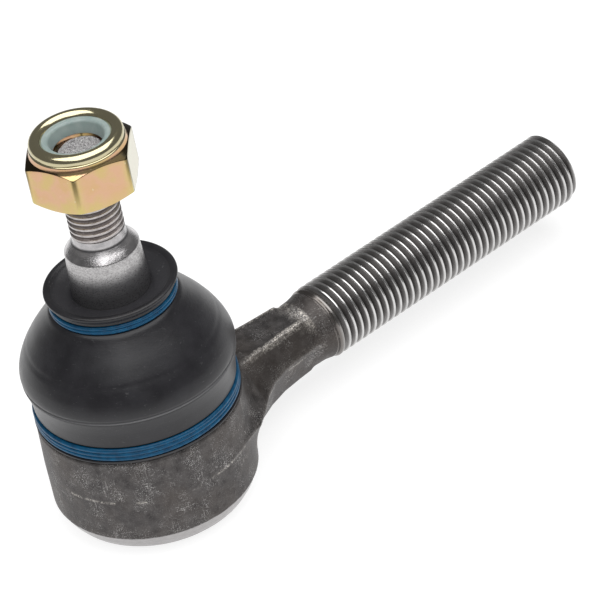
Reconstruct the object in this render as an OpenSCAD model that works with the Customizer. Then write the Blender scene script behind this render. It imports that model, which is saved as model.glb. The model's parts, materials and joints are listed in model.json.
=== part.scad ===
// Tie rod end: a steering ball joint with a male-threaded shank.
//
// A forged socket holds a ball stud between two plastic bearing shells, pressed
// up by a disc spring and a cover plate under a rolled rim. A rubber boot,
// clamped by two spring-wire rings, seals the mouth. A nylon-insert lock nut
// runs on the stud's thread.
//
// Frame: the origin is the centre of the ball. +Z runs along the upright stud
// towards the nut, +X runs along the shank towards its threaded tip.
// Every length is in millimetres.

/* [Shank] */
// Major diameter of the shank thread
shank_d = 18; // [14:0.5:24]
// Pitch of the shank thread
shank_pitch = 2; // [1:0.25:3]
// Distance from the stud's axis to the first thread
thread_x = 51; // [49:1:70]
// Number of full threads on the shank
shank_threads = 38; // [20:1:50]
// Diameter of the plain neck between the forging and the thread
shank_neck_d = 16; // [12:0.5:20]
// How far the shank's axis lies below the ball's centre
shank_drop = 3; // [0:0.5:6]

/* [Socket] */
// Outer diameter of the socket at the forging's parting plane
socket_d = 47.2; // [44:0.2:54]
// Height of the shoulder the boot stands on, above the ball's centre
shoulder_z = 7.8; // [6.8:0.2:8]
// Height of the boss that carries the boot, above the ball's centre
boss_z = 13; // [12:0.5:14]
// Diameter of the groove that holds the boot's bead
boss_groove_d = 40.4; // [38:0.2:41.6]
// Radius of the throat that keeps the ball in
throat_r = 12.9; // [12.4:0.1:13.2]
// Lowest point of the rolled rim, below the ball's centre
rim_depth = 18.8; // [18.4:0.1:21]

/* [Ball stud] */
// Diameter of the ball
ball_d = 28; // [27:0.5:28.5]
// Diameter of the waist above the ball
waist_d = 14.4; // [12:0.2:15.6]
// Diameter of the journal the boot's collar seals on
journal_d = 17.4; // [16.6:0.2:18.2]
// Diameter of the taper at its small end
taper_small_d = 16.5; // [14:0.1:16.6]
// Height of the taper's small end above the ball's centre
taper_top_z = 49.9; // [44:0.1:51.5]
// Major diameter of the stud thread
stud_d = 12; // [10:1:12]
// Pitch of the stud thread
stud_pitch = 1.5; // [1:0.25:2]
// Height of the first stud thread above the ball's centre
stud_thread_z = 54.6; // [52.8:0.1:60]
// Height of the stud's tip above the ball's centre
stud_top_z = 74.85; // [68:0.05:80]

/* [Bearing shells] */
// Clearance between the ball and its shells
ball_gap = 0.05; // [0.02:0.01:0.1]
// Wall thickness of the shells
shell_t = 1.95; // [1.5:0.05:2.3]
// Height of the upper shell
shell_top_z = 6.9; // [6:0.1:7.2]

/* [Dust boot] */
// Largest diameter of the boot's dome
boot_d = 48.3; // [47.2:0.1:50]
// Height of the boot's upper lip above the ball's centre
lip_z = 40.8; // [40.2:0.1:44]
// Diameter of the flared upper lip
lip_d = 29.8; // [28.8:0.2:33]

/* [Clamp rings] */
// Turns of wire in the lower clamp ring
lower_turns = 3; // [1:1:3]
// Turns of wire in the upper clamp ring
upper_turns = 2; // [1:1:2]
// Wire diameter of the lower clamp ring
lower_wire_d = 1.15; // [0.8:0.05:1.15]
// Wire diameter of the upper clamp ring
upper_wire_d = 1.06; // [0.8:0.02:1.1]

/* [Lock nut] */
// Width of the nut across its flats
nut_af = 22; // [21:1:24]
// Height of the nut's lower face above the ball's centre
nut_z = 65.7; // [55.8:0.1:74]
// Full height of the nut with its rolled collar
nut_h = 13.6; // [10:0.1:14]
// Outer diameter of the rolled collar
collar_d = 20.7; // [20.2:0.1:21]
// Turn of the nut about the stud
nut_turn = 46.5; // [0:0.5:60]

/* [Hidden] */
$fn = 96;
ball_r = ball_d / 2;
seat_r = ball_r + ball_gap;
shell_r = seat_r + shell_t;
socket_r = socket_d / 2;
shank_r = shank_d / 2;
shank_root_r = shank_r - 0.6 * shank_pitch;
shank_tip_x = thread_x + (shank_threads + 0.2) * shank_pitch + 0.9;
stud_r = stud_d / 2;
stud_root_r = stud_r - 0.6 * stud_pitch;
stud_threads = floor((stud_top_z - stud_thread_z - 0.9) / stud_pitch - 0.2);
groove_r = boss_groove_d / 2;
journal_r = journal_d / 2;
taper_r = taper_small_d / 2;
boot_r = boot_d / 2;
lip_r = lip_d / 2;
plate_r = 17.9;
plate_top = -15.02;
plate_t = 2.2;
ring_z = 8.6;
ring_groove_r = 22.2;
ring_groove_h = 3.4;
collar_groove_z = 36.1;
collar_groove_r = 13.25;
collar_groove_h = 2.25;
nut_top = nut_z + nut_h;
collar_r = collar_d / 2;
roll_r = 1.3;
dome_z = nut_top - 4.25;
wall_top_z = nut_top - 2.1;
nylon_h = 3.2;
nylon_z = nut_top - nylon_h - 1.05;
nylon_r = 8.85;

// ---------------------------------------------------------------- helpers

// Outline of one side of a ridged rod, as [radius, distance along the axis]:
// every pitch has a crest flat at the full radius and a V-shaped groove, and
// the last groove is closed by one more crest flat.
function ridges(start, count, pitch, crest_r, root_r) = concat(
    [
        for (i = [0 : count - 1])
            for (p = [[crest_r, 0], [crest_r, 0.2], [root_r, 0.55], [root_r, 0.65]])
                [p[0], start + (i + p[1]) * pitch]
    ],
    [
        [crest_r, start + count * pitch],
        [crest_r, start + (count + 0.2) * pitch]
    ]
);

// One turn of wire lying flat around the Z axis.
module wire_turn(ring_r, wire_r, z) {
    translate([0, 0, z])
        rotate_extrude()
            translate([ring_r, 0])
                circle(r = wire_r, $fn = 32);
}

// A clamp ring wound from several touching turns of wire.
module wire_ring(inner_r, wire_d, turns, z0) {
    for (i = [0 : turns - 1])
        wire_turn(inner_r + wire_d / 2, wire_d / 2, z0 + wire_d / 2 + i * wire_d * 0.94);
}

// A solid lofted through six-sided sections at growing X.
// Each row is [x, top half width, top z, ridge half width, ridge z,
// bottom half width, bottom z], with z measured from the shank's axis.
module loft6(rows) {
    n = len(rows);
    pts = [
        for (s = rows)
            for (p = [[s[1], s[2]], [-s[1], s[2]], [-s[3], s[4]],
                      [-s[5], s[6]], [s[5], s[6]], [s[3], s[4]]])
                [s[0], p[0], p[1]]
    ];
    sides = [
        for (i = [0 : n - 2])
            for (k = [0 : 5])
                for (t = [0, 1])
                    let (a = 6 * i + k, b = 6 * i + (k + 1) % 6)
                        t == 0 ? [a, a + 6, b] : [b, a + 6, b + 6]
    ];
    first = [[0, 1, 2], [0, 2, 3], [0, 3, 4], [0, 4, 5]];
    last = [for (f = first) [f[0], f[2], f[1]] + [6, 6, 6] * (n - 1)];
    polyhedron(points = pts, faces = concat(sides, first, last));
}

// ---------------------------------------------------------------- housing

// Outside of the socket: boss, shoulder, forged side and rolled rim.
module socket_body() {
    rotate_extrude()
        polygon([
            [0, boss_z],
            [groove_r, boss_z],
            [groove_r + 0.7, boss_z - 0.6],
            [groove_r + 0.7, boss_z - 1],
            [groove_r, boss_z - 1.4],
            [groove_r, shoulder_z],
            [socket_r - 0.8, shoulder_z],
            [socket_r - 0.2, shoulder_z - 0.7],
            [socket_r, -shank_drop],
            [socket_r, -13.4],
            [socket_r - 1.2, -15.6],
            [socket_r - 2.4, -17.3],
            [socket_r - 3.8, 0.4 - rim_depth],
            [16, -rim_depth],
            [0, -rim_depth]
        ]);
}

// Room for the cover plate, the shells and the swinging stud.
module socket_bore() {
    rotate_extrude()
        polygon([
            [0, -rim_depth - 1],
            [16, -rim_depth - 1],
            [16, plate_top - plate_t - 0.04],
            [plate_r + 0.1, plate_top - plate_t - 0.04],
            [plate_r + 0.1, plate_top + 0.02],
            [shell_r + 0.1, plate_top + 0.02],
            [shell_r + 0.1, 0.5],
            [throat_r, 0.5],
            [throat_r, shoulder_z],
            [throat_r + 3.1, boss_z],
            [throat_r + 3.1, boss_z + 1],
            [0, boss_z + 1]
        ]);
    intersection() {
        sphere(r = shell_r + 0.05);
        translate([0, 0, 0.4])
            cylinder(h = shell_top_z - 0.1, r = shell_r + 1);
    }
}

// Forged arm: six-sided, flaring into the socket, ending in a shoulder.
module arm() {
    translate([0, 0, -shank_drop])
        loft6([
            [8, 9.6, 8.6, 21, 0.6, 13, -9.6],
            [18, 8.2, 8.3, 19, 0.6, 12, -9.5],
            [22, 7.2, 8.1, 16, 0.6, 10.2, -9.2],
            [26, 6.4, 7.8, 12.6, 0.8, 8.2, -8.3],
            [30, 5.9, 7.6, 10.2, 1, 6.9, -7.7],
            [35, 5.5, 7.45, 8.7, 1.2, 5.9, -7.2],
            [40, 5.2, 7.4, 8.2, 1.2, 5.5, -7],
            [43.6, 5.1, 7.3, 8.1, 1.2, 5.3, -6.9],
            [46.4, 4, 5.4, 7.4, 1.1, 4.6, -6]
        ]);
}

// Turned neck, ridged thread and chamfered tip of the shank.
module shank() {
    translate([0, 0, -shank_drop])
        rotate([0, 90, 0])
            rotate_extrude()
                polygon(concat(
                    [
                        [0, 26],
                        [6.2, 26],
                        [6.2, 42.5],
                        [shank_neck_d / 2, 45.6],
                        [shank_neck_d / 2, 48.2],
                        [shank_r - 0.45, thread_x - 0.6],
                        [shank_r - 0.45, thread_x - 0.2]
                    ],
                    ridges(thread_x, shank_threads, shank_pitch, shank_r, shank_root_r),
                    [
                        [shank_r - 1.2, shank_tip_x],
                        [0, shank_tip_x]
                    ]
                ));
}

module housing() {
    color([0.36, 0.34, 0.33])
        difference() {
            union() {
                socket_body();
                arm();
                shank();
            }
            socket_bore();
        }
}

// ---------------------------------------------------------------- bearings

module upper_bearing_shell() {
    color([0.88, 0.87, 0.82])
        difference() {
            intersection() {
                sphere(r = shell_r);
                translate([0, 0, 0.03])
                    cylinder(h = shell_top_z - 0.03, r = shell_r + 1);
            }
            sphere(r = seat_r);
        }
}

module lower_bearing_shell() {
    color([0.88, 0.87, 0.82])
        difference() {
            translate([0, 0, -14])
                cylinder(h = 13.97, r = shell_r);
            sphere(r = seat_r);
            translate([0, 0, -15])
                cylinder(h = 4, r = 5);
        }
}

// Coned disc spring that presses the lower shell up against the ball.
module preload_spring() {
    color([0.45, 0.46, 0.48])
        rotate_extrude()
            polygon([
                [6, -14.5],
                [6, -14.04],
                [15, -14.5],
                [15, -14.97]
            ]);
}

module cover_plate() {
    color([0.7, 0.7, 0.71])
        rotate_extrude()
            polygon([
                [0, plate_top],
                [plate_r, plate_top],
                [plate_r, plate_top - plate_t],
                [11, plate_top - plate_t],
                [10, plate_top - plate_t + 0.6],
                [0, plate_top - plate_t + 0.6]
            ]);
}

// ---------------------------------------------------------------- boot

module dust_boot() {
    color([0.13, 0.13, 0.14])
        rotate_extrude()
            polygon([
                // standing lip and ring groove
                [groove_r + 0.05, shoulder_z + 0.05],
                [23.1, shoulder_z + 0.05],
                [23.4, shoulder_z + 0.35],
                [23.2, ring_z - 0.1],
                [ring_groove_r, ring_z - 0.05],
                [ring_groove_r, ring_z - 0.05 + ring_groove_h],
                // lower band up to the crease
                [22.7, 12.05],
                [22.9, 12.7],
                [23.2, 15.4],
                [boot_r - 0.35, 18.4],
                [boot_r - 0.1, 19.3],
                [boot_r - 0.45, 19.7],
                // dome
                [boot_r, 20.3],
                [boot_r - 0.15, 21.6],
                [boot_r - 0.75, 23.6],
                [22.3, 25.8],
                [20.8, 28.1],
                [19, 30.4],
                [17.1, 32.6],
                [15.6, 34.4],
                [14.6, 35.7],
                [14, collar_groove_z - 0.05],
                // groove of the upper ring
                [collar_groove_r, collar_groove_z],
                [collar_groove_r, collar_groove_z + collar_groove_h],
                [14, collar_groove_z + collar_groove_h],
                // flared lip and its dish
                [14.05, lip_z - 1.5],
                [lip_r - 0.15, lip_z - 1],
                [lip_r, lip_z - 0.5],
                [lip_r - 0.2, lip_z],
                [13.7, lip_z],
                [12.7, lip_z - 0.7],
                [10.6, lip_z - 1.3],
                [9.3, lip_z - 1.6],
                [journal_r + 0.04, lip_z - 1.9],
                // bore that seals on the journal
                [journal_r + 0.04, 31.4],
                [9.6, 30.7],
                [12, 30.7],
                // inside of the dome
                [13.8, 31],
                [15.6, 29.6],
                [17.3, 27.8],
                [19, 25.7],
                [20.4, 23.7],
                [21.5, 21.8],
                [22.1, 20],
                [21.9, 18.4],
                [21.5, 15.4],
                [21.1, 12.9],
                [21, boss_z - 1.1],
                [groove_r + 0.05, boss_z - 1.5]
            ]);
}

module lower_clamp_ring() {
    color([0.09, 0.36, 0.6])
        wire_ring(ring_groove_r + 0.02, lower_wire_d, lower_turns, ring_z);
}

module upper_clamp_ring() {
    color([0.09, 0.36, 0.6])
        wire_ring(collar_groove_r + 0.02, upper_wire_d, upper_turns, collar_groove_z + 0.05);
}

// ---------------------------------------------------------------- stud

module ball_stud() {
    color([0.62, 0.62, 0.62]) {
        difference() {
            sphere(r = ball_r);
            translate([0, 0, -ball_r - 6])
                cylinder(h = 7.5, r = ball_r);
        }
        rotate_extrude()
            polygon(concat(
                [
                    [0, 6],
                    [waist_d / 2 + 1.6, 10.2],
                    [waist_d / 2 + 0.3, 11.7],
                    [waist_d / 2, 13],
                    [waist_d / 2, 22.5],
                    [journal_r, 27.5],
                    [journal_r, 41],
                    [taper_r, taper_top_z],
                    [stud_r + 0.25, taper_top_z + 2.2],
                    [stud_r - 0.05, taper_top_z + 2.4],
                    [stud_r - 0.05, stud_thread_z - 0.3]
                ],
                ridges(stud_thread_z, stud_threads, stud_pitch, stud_r, stud_root_r),
                [
                    [stud_r - 1, stud_top_z],
                    [0, stud_top_z]
                ]
            ));
    }
}

// ---------------------------------------------------------------- nut

module lock_nut() {
    color([0.83, 0.69, 0.5])
        difference() {
            union() {
                // hexagon with domed upper corners and chamfered lower corners
                intersection() {
                    translate([0, 0, nut_z])
                        rotate([0, 0, nut_turn])
                            cylinder(h = dome_z - nut_z + 1.45, r = nut_af / 2 / cos(30), $fn = 6);
                    rotate_extrude()
                        polygon([
                            [0, nut_z - 1],
                            [nut_af / 2 - 0.6, nut_z - 1],
                            [nut_af / 2 + 1.8, nut_z + 1.4],
                            [nut_af / 2 + 1.8, dome_z],
                            [nut_af / 2 - 1.2, dome_z + 1.5],
                            [0, dome_z + 1.5]
                        ]);
                }
                // wall and rolled edge of the collar over the nylon ring
                rotate_extrude()
                    polygon([
                        [0, dome_z + 0.25],
                        [collar_r + 0.4, dome_z + 0.25],
                        [collar_r + 0.4, dome_z + 1.05],
                        [collar_r + 0.1, wall_top_z],
                        [0, wall_top_z]
                    ]);
                rotate_extrude()
                    translate([collar_r - roll_r, nut_top - roll_r])
                        circle(r = roll_r, $fn = 48);
            }
            // threaded bore, nylon pocket and lead-in
            rotate_extrude()
                polygon([
                    [0, nut_z - 1],
                    [stud_r + 1, nut_z - 1],
                    [stud_r + 1, nut_z],
                    [stud_r + 0.05, nut_z + 0.95],
                    [stud_r + 0.05, nylon_z - 0.05],
                    [nylon_r + 0.05, nylon_z - 0.05],
                    [nylon_r + 0.05, nylon_z + nylon_h + 0.03],
                    [7.6, nylon_z + nylon_h + 0.03],
                    [7.6, nut_top + 1],
                    [0, nut_top + 1]
                ]);
        }
}

module nylon_insert() {
    color([0.55, 0.63, 0.66])
        rotate_extrude()
            polygon([
                [stud_r - 0.15, nylon_z],
                [nylon_r, nylon_z],
                [nylon_r, nylon_z + nylon_h],
                [stud_r + 0.6, nylon_z + nylon_h],
                [stud_r - 0.4, nylon_z + nylon_h - 0.6],
                [stud_r - 0.4, nylon_z + 0.6]
            ]);
}

housing();
upper_bearing_shell();
lower_bearing_shell();
preload_spring();
cover_plate();
lower_clamp_ring();
dust_boot();
upper_clamp_ring();
ball_stud();
lock_nut();
nylon_insert();
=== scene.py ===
"""Looks of the tie rod end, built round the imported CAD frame.

Outlines are written in millimetres, in the frame's own axes: the ball's centre is the origin, +Z
runs up the stud and +X along the shank. mesh_piece() turns them into metres.
"""
import json
import math

import bmesh
import bpy
import numpy as np
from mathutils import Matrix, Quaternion, Vector, noise


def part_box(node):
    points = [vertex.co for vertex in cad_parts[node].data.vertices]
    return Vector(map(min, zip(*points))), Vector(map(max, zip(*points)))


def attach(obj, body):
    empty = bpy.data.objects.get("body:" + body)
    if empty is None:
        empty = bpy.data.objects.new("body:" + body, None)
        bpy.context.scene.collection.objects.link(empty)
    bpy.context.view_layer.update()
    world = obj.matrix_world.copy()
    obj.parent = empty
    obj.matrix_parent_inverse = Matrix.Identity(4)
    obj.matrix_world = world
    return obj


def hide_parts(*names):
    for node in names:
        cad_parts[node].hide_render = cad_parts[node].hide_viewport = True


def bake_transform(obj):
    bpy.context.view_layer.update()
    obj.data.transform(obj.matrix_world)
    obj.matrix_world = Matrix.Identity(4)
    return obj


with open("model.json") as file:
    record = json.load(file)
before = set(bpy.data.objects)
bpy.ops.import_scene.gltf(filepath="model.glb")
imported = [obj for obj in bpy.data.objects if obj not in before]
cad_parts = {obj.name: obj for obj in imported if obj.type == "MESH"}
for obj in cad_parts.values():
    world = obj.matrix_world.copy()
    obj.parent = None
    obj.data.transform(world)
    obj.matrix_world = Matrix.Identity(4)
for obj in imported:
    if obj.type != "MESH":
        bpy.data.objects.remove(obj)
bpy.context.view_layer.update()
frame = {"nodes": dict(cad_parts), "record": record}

# ------------------------------------------------------------------ sizes, from the frame, in mm

MM = 0.001


def box_mm(node):
    """Lowest and highest corner of a CAD node, in millimetres."""
    low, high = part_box(node)
    return [c / MM for c in low], [c / MM for c in high]


mounts = {m["name"]: m for m in frame["record"]["mounts"]}
couplings = frame["record"]["behaviour"]["couplings"]

housing_low, housing_high = box_mm("housing")
boot_low, boot_high = box_mm("dust_boot")
stud_high = box_mm("ball_stud")[1]
nut_low, nut_high = box_mm("lock_nut")
nylon_low, nylon_high = box_mm("nylon_insert")
plate_low = box_mm("cover_plate")[0]

SOCKET_R = -housing_low[0]
RIM_Z = housing_low[2]
BOSS_Z = housing_high[2]

SHANK_TIP = housing_high[0]
SHANK_Z = mounts["shank_thread"]["pos_m"][2] / MM
SHANK_R = mounts["shank_thread"]["dims"]["r_mm"]
SHANK_PITCH = 2.0
SHANK_TIP_CHAMFER = 0.9
THREAD_X = SHANK_TIP - SHANK_TIP_CHAMFER - mounts["shank_thread"]["dims"]["length_mm"]

BALL_R = stud_high[0]
BALL_FLAT_Z = -12.5
STUD_TIP = stud_high[2]
STUD_R = 6.0
# The nut's coupling gives its turn for each metre of travel, so a full turn's travel is the pitch.
STUD_PITCH = 2000 * math.pi / couplings[0]["ratio"]

BOOT_R = boot_high[0]
LIP_Z = boot_high[2]

NUT_Z = nut_low[2]
NUT_TOP = nut_high[2]
NUT_TURN = math.radians(46.5)
NUT_AF = 22.0
COLLAR_R = 10.35

# ------------------------------------------------------------------ mesh helpers


def mesh_piece(name, points, faces, body, nodes, material, sharp_deg=30, masks=None):
    """A piece from points in millimetres. It rides on a body and stands for CAD nodes."""
    mesh = bpy.data.meshes.new(name)
    mesh.from_pydata(np.asarray(points, float) * MM, [], faces)
    for key, values in (masks or {}).items():
        layer = mesh.attributes.new(key, "FLOAT", "POINT")
        layer.data.foreach_set("value", np.asarray(values, np.float32))
    mesh.validate()
    mesh.shade_smooth()
    mesh.set_sharp_from_angle(angle=math.radians(sharp_deg))
    mesh.materials.append(material)
    piece = bpy.data.objects.new(name, mesh)
    bpy.context.scene.collection.objects.link(piece)
    if body:
        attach(piece, body)
    if nodes:
        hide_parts(*nodes)
    return piece


def grid_faces(rows, columns, wrap_rows=False):
    """Quads of a grid whose rows are closed loops. wrap_rows joins the last row to the first."""
    faces = []
    for i in range(rows if wrap_rows else rows - 1):
        a, b = i * columns, (i + 1) % rows * columns
        for j in range(columns):
            k = (j + 1) % columns
            faces.append((a + j, a + k, b + k, b + j))
    return faces


def turned(profile, segments, closed=True):
    """Points and faces of a profile of (radius, height) turned about Z.

    A closed profile bounds a ring. An open one starts and ends on the axis, where a fan closes it.
    """
    points, faces = [], []
    body = profile if closed else profile[1:-1]
    for r, z in body:
        for j in range(segments):
            a = 2 * math.pi * j / segments
            points.append((r * math.cos(a), r * math.sin(a), z))
    faces = grid_faces(len(body), segments, closed)
    if not closed:
        last = (len(body) - 1) * segments
        points += [(0, 0, profile[0][1]), (0, 0, profile[-1][1])]
        first_pole, last_pole = len(points) - 2, len(points) - 1
        for j in range(segments):
            k = (j + 1) % segments
            faces.append((first_pole, k, j))
            faces.append((last_pole, last + j, last + k))
    return points, faces


def curve_through(knots, steps=6):
    """A smooth curve through the knots: a uniform Catmull-Rom spline, steps points to a span."""
    p = [np.array(k, float) for k in knots]
    p = [2 * p[0] - p[1]] + p + [2 * p[-1] - p[-2]]
    out = []
    for a, b, c, d in zip(p, p[1:], p[2:], p[3:]):
        for i in range(steps):
            t = i / steps
            out.append(tuple(0.5 * (2 * b + (c - a) * t + (2 * a - 5 * b + 4 * c - d) * t * t
                                    + (3 * b - a - 3 * c + d) * t ** 3)))
    return out + [tuple(p[-2])]


def arc(centre, radius, start_deg, end_deg, steps=8):
    """Points of an arc in the profile plane, from one angle to another."""
    points = []
    for i in range(steps + 1):
        a = math.radians(start_deg + (end_deg - start_deg) * i / steps)
        points.append((centre[0] + radius * math.cos(a), centre[1] + radius * math.sin(a)))
    return points


def tube(path, radius, sides=14):
    """A closed tube of round wire along a path, with flat cut ends."""
    path = np.asarray(path, float)
    along = np.gradient(path, axis=0)
    along /= np.linalg.norm(along, axis=1)[:, None]
    up = np.array([0.0, 0.0, 1.0])
    side = np.cross(along, up)
    side /= np.linalg.norm(side, axis=1)[:, None]
    up = np.cross(side, along)
    angles = np.arange(sides) * 2 * math.pi / sides
    rings = (path[:, None] + radius * (np.cos(angles)[None, :, None] * side[:, None]
                                       + np.sin(angles)[None, :, None] * up[:, None]))
    points = rings.reshape(-1, 3)
    faces = grid_faces(len(path), sides)
    last = (len(path) - 1) * sides
    faces += [tuple(range(sides))[::-1], tuple(last + j for j in range(sides))]
    return points, faces


# ------------------------------------------------------------------ threads

GROOVE_FOOT = 0.43  # where a groove's flank ends and its floor begins, as a share of the pitch


def thread_depth(phase, crest):
    """Depth of a V thread below its crest, from 0 to 1, where phase 0 is the middle of the crest.

    crest is half the width of the crest, as a share of the pitch.
    """
    away = np.abs((np.asarray(phase) + 0.5) % 1.0 - 0.5)
    return np.clip((away - crest) / (GROOVE_FOOT - crest), 0, 1)


def thread_grid(low, high, pitch, envelope, depth, segments, crest):
    """Grid of points and groove mask of a threaded rod.

    envelope and depth give the crest's radius and the groove's depth at each height. Rows of the
    grid follow the helix, so crests stay crisp; rows that run past an end are flattened onto it.
    """
    flank = [crest - 0.02, crest + 0.01, crest + 0.06, 0.26, 0.36]
    shares = np.array([-GROOVE_FOOT] + [-share for share in reversed(flank)] + [0] + flank)
    turns = int(math.ceil((high - low) / pitch)) + 2
    stations = np.concatenate([(shares + i) * pitch for i in range(-1, turns)]) + low
    angles = np.arange(segments + 1) * 2 * math.pi / segments
    z = np.clip(stations[:, None] + pitch * angles[None, :] / (2 * math.pi), low, high)
    row_phase = np.broadcast_to((stations[:, None] - low) / pitch, z.shape)
    true_phase = (z - low) / pitch - angles[None, :] / (2 * math.pi)
    flattened = (z <= low) | (z >= high)
    below = np.where(flattened, thread_depth(true_phase, crest), thread_depth(row_phase, crest))
    cut = depth(z)
    r = envelope(z) - cut * below
    grid = np.stack([r * np.cos(angles), r * np.sin(angles), z], axis=2)
    return grid, cut * below / max(float(np.max(cut)), 1e-9)


def helical_rod(low, high, pitch, envelope, depth, segments, crest=0.09):
    """Points, faces and groove mask of a right-handed threaded rod about Z, open at both ends."""
    grid, mask = thread_grid(low, high, pitch, envelope, depth, segments, crest)
    rows, columns = grid.shape[:2]
    points = list(map(tuple, grid.reshape(-1, 3)))
    masks = list(mask.reshape(-1))
    faces = []
    for i in range(rows - 1):
        for j in range(columns - 1):
            a = i * columns + j
            quad = (a, a + 1, a + columns + 1, a + columns)
            heights = [points[v][2] for v in quad]
            if max(heights) - low > 1e-6 and high - min(heights) > 1e-6:
                faces.append(quad)
    return points, faces, masks


def weld(points, faces, masks, distance):
    """Merges points closer than distance and closes each open end with one flat face."""
    mesh = bmesh.new()
    layer = mesh.verts.layers.float.new("groove")
    made = []
    for p, m in zip(points, masks):
        v = mesh.verts.new(p)
        v[layer] = m
        made.append(v)
    for f in faces:
        corners = [made[i] for i in f]
        if len(set(corners)) == len(corners):
            mesh.faces.new(corners)
    bmesh.ops.remove_doubles(mesh, verts=mesh.verts[:], dist=distance)
    loose = [v for v in mesh.verts if not v.link_faces]
    bmesh.ops.delete(mesh, geom=loose, context="VERTS")
    bmesh.ops.dissolve_degenerate(mesh, dist=distance, edges=mesh.edges[:])
    open_edges = [e for e in mesh.edges if e.is_boundary]
    bmesh.ops.edgeloop_fill(mesh, edges=open_edges)
    bmesh.ops.recalc_face_normals(mesh, faces=mesh.faces[:])
    mesh.verts.index_update()
    out_points = [tuple(v.co) for v in mesh.verts]
    out_masks = [v[layer] for v in mesh.verts]
    out_faces = [tuple(v.index for v in f.verts) for f in mesh.faces]
    mesh.free()
    return out_points, out_faces, out_masks


# ------------------------------------------------------------------ forging, as a distance field


def smooth_max(a, b, k):
    """The larger of two fields, with the corner between them rounded over about k."""
    h = np.clip(0.5 + 0.5 * (a - b) / k, 0, 1)
    return b + (a - b) * h + k * h * (1 - h)


def smooth_min(a, b, k):
    """The smaller of two fields, with the corner between them filled over about k."""
    return -smooth_max(-a, -b, k)


def outline_distance(r, z, outline):
    """Signed distance from points (r, z) to a closed outline, negative inside."""
    nearest = np.full(np.shape(r), 1e9)
    inside = np.zeros(np.shape(r), bool)
    n = len(outline)
    for i in range(n):
        (r0, z0), (r1, z1) = outline[i], outline[(i + 1) % n]
        er, ez = r1 - r0, z1 - z0
        t = np.clip(((r - r0) * er + (z - z0) * ez) / (er * er + ez * ez), 0, 1)
        nearest = np.minimum(nearest, (r - r0 - t * er) ** 2 + (z - z0 - t * ez) ** 2)
        if z0 != z1:
            crosses = (z0 > z) != (z1 > z)
            inside ^= crosses & (r < r0 + (z - z0) * er / ez)
    return np.where(inside, -1, 1) * np.sqrt(nearest)


BEVEL_Z = -13.4
BORE_R = 16.1
THROAT_R = 12.9
PLATE_SEAT_Z = plate_low[2] - 0.04
SOCKET_OUTLINE = [
    (-5, BOSS_Z), (20.2, BOSS_Z), (20.9, BOSS_Z - 0.6), (20.9, BOSS_Z - 1), (20.2, BOSS_Z - 1.4),
    (20.2, 7.8), (SOCKET_R - 0.9, 7.8), (SOCKET_R - 0.3, 7.2),
    (SOCKET_R, SHANK_Z), (SOCKET_R - 0.05, BEVEL_Z + 0.1), (SOCKET_R - 0.25, BEVEL_Z - 0.1),
    (SOCKET_R - 1.25, -15.6), (SOCKET_R - 2.4, -17.3), (SOCKET_R - 3.5, -18.25),
    (SOCKET_R - 4.6, RIM_Z + 0.1), (16, RIM_Z),
    (-5, RIM_Z),
]
BORE_OUTLINE = [
    (-5, RIM_Z - 3), (16, RIM_Z - 3), (16, PLATE_SEAT_Z), (18, PLATE_SEAT_Z),
    (18, -15), (BORE_R, -15), (BORE_R, 0.5), (15.2, 5.5), (13.3, 6.9),
    (THROAT_R, 7.4), (THROAT_R, 7.8), (16, BOSS_Z), (16, BOSS_Z + 3), (-5, BOSS_Z + 3),
]
# Arm sections: distance along the shank's axis, half width and height of the top, half width and
# height of the side ridge, half width and height of the bottom. Heights are from the shank's axis.
ARM = np.array([
    [8, 9.6, 8.6, 21, 0.6, 13, -9.6],
    [18, 8.2, 8.3, 19, 0.6, 12, -9.5],
    [22, 7.2, 8.1, 16, 0.6, 10.2, -9.2],
    [26, 6.4, 7.8, 12.6, 0.8, 8.2, -8.3],
    [30, 5.9, 7.6, 10.2, 1, 6.9, -7.7],
    [35, 5.5, 7.45, 8.7, 1.2, 5.9, -7.2],
    [40, 5.2, 7.4, 8.2, 1.2, 5.5, -7],
    [43.6, 5.1, 7.3, 8.1, 1.2, 5.3, -6.9],
    [46.4, 4, 5.4, 7.4, 1.1, 4.6, -6],
])
ARM_START, ARM_END = 4, 46.4
# The round neck between arm and thread, as (distance along the shank's axis, radius).
NECK = [(40, 6.2), (42.5, 6.2), (44.6, 7.55), (46, 7.95), (48.2, 8.05), (50.6, 8.5), (53, 8.5)]
NECK_START, NECK_END = 38, 52.4


def arm_sides(x, y, z):
    """Distances outside the arm's top, upper side, lower side and bottom."""
    section = [np.interp(x, ARM[:, 0], column) for column in ARM.T[1:]]
    top_w, top_z, ridge_w, ridge_z, low_w, low_z = section
    h = z - SHANK_Z
    w = np.abs(y)

    def beyond(w0, z0, w1, z1):
        length = np.hypot(w1 - w0, z1 - z0)
        return ((w - w0) * (z0 - z1) + (h - z0) * (w1 - w0)) / length

    upper = beyond(top_w, top_z, ridge_w, ridge_z)
    lower = beyond(ridge_w, ridge_z, low_w, low_z)
    return h - top_z, upper, lower, low_z - h


def forging(p):
    """Signed distance from points to the forged housing without its thread, in millimetres."""
    top_round, low_round, ridge_round, arm_root, neck_root = 0.9, 1.2, 0.35, 2.2, 0.9
    x, y, z = p[..., 0], p[..., 1], p[..., 2]
    r = np.hypot(x, y)
    socket = outline_distance(r, z, SOCKET_OUTLINE)
    top, upper, lower, bottom = arm_sides(x, y, z)
    arm = smooth_max(smooth_max(top, upper, top_round), smooth_max(lower, bottom, low_round),
                     ridge_round)
    arm = np.maximum(arm, np.maximum(x - ARM_END, ARM_START - x))
    off_axis = np.hypot(y, z - SHANK_Z)
    neck = off_axis - np.interp(x, *zip(*NECK))
    neck = np.maximum(neck, np.maximum(x - NECK_END, NECK_START - x))
    whole = smooth_min(socket, arm, arm_root)
    whole = smooth_min(whole, neck, neck_root)
    bore = outline_distance(r, z, BORE_OUTLINE)
    return np.maximum(whole, -bore)


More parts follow.
